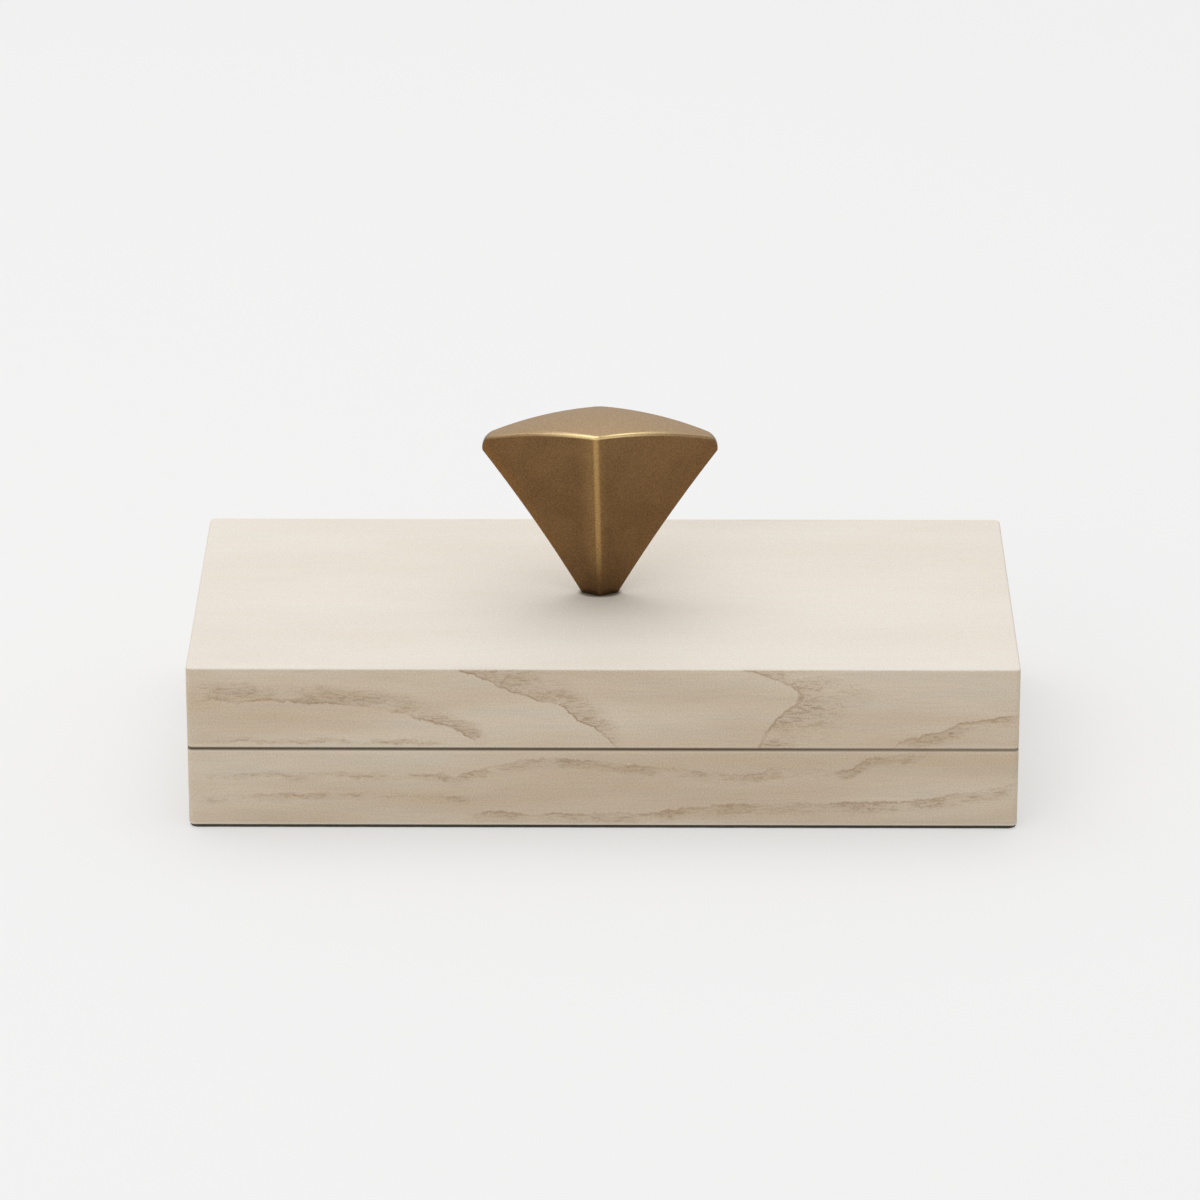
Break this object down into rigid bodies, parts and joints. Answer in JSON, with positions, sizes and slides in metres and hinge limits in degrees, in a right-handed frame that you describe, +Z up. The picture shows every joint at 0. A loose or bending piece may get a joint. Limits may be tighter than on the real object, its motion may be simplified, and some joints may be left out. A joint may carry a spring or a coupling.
{
  "type": "watercolour paint box",
  "caption": "Low rectangular wooden paint box with a lift-off lid, a flared brass knob on its middle, and a tray of half pans with a mixing dish inside.",
  "frame": {"origin": "centre of the underside, on the surface the box stands on", "axes": "+X along the length to the right, -Y the front, +Z up; the lid lifts along +Z"},
  "size_m": [0.18, 0.09, 0.0782],
  "materials": {
    "ash": "limed and waxed, matt",
    "tray_ash": "oiled, matt",
    "brass": "brushed and darkened",
    "steel": "zinc plated",
    "felt": "pressed wool felt",
    "pan_plastic": "gloss",
    "porcelain": "glazed",
    "paint_lemon_yellow": "dried paint, matt",
    "paint_warm_yellow": "dried paint, matt",
    "paint_orange": "dried paint, matt",
    "paint_scarlet": "dried paint, matt",
    "paint_crimson": "dried paint, matt",
    "paint_violet": "dried paint, matt",
    "paint_ultramarine": "dried paint, matt",
    "paint_sky_blue": "dried paint, matt",
    "paint_viridian": "dried paint, matt",
    "paint_sap_green": "dried paint, matt",
    "paint_yellow_ochre": "dried paint, matt",
    "paint_burnt_umber": "dried paint, matt"
  },
  "bodies": {
    "box": {"base_box": "ash", "base_felt": "felt"},
    "lid": {"lid": "ash", "knob": "brass", "knob_screw": "steel", "knob_washer": "steel"},
    "tray": {"pan_tray": "tray_ash", "pan_lemon_yellow": "pan_plastic", "pan_warm_yellow": "pan_plastic", "pan_orange": "pan_plastic", "pan_scarlet": "pan_plastic", "pan_crimson": "pan_plastic", "pan_violet": "pan_plastic", "pan_ultramarine": "pan_plastic", "pan_sky_blue": "pan_plastic", "pan_viridian": "pan_plastic", "pan_sap_green": "pan_plastic", "pan_yellow_ochre": "pan_plastic", "pan_burnt_umber": "pan_plastic", "paint_lemon_yellow": "paint_lemon_yellow", "paint_warm_yellow": "paint_warm_yellow", "paint_orange": "paint_orange", "paint_scarlet": "paint_scarlet", "paint_crimson": "paint_crimson", "paint_violet": "paint_violet", "paint_ultramarine": "paint_ultramarine", "paint_sky_blue": "paint_sky_blue", "paint_viridian": "paint_viridian", "paint_sap_green": "paint_sap_green", "paint_yellow_ochre": "paint_yellow_ochre", "paint_burnt_umber": "paint_burnt_umber"},
    "dish": {"mixing_dish": "porcelain"}
  },
  "joints": [
    {"name": "lid_lift", "type": "slide", "parent": "box", "child": "lid", "axis": [0, 0, 1], "range_m": [0, 0.06]},
    {"name": "tray_lift", "type": "slide", "parent": "box", "child": "tray", "axis": [0, 0, 1], "range_m": [0, 0.022]},
    {"name": "dish_lift", "type": "slide", "parent": "tray", "child": "dish", "axis": [0, 0, 1], "range_m": [0, 0.015]}
  ],
  "couplings": [
    {"joint": "tray_lift", "follows": "lid_lift", "ratio": 0.3666},
    {"joint": "dish_lift", "follows": "lid_lift", "ratio": 0.25}
  ]
}
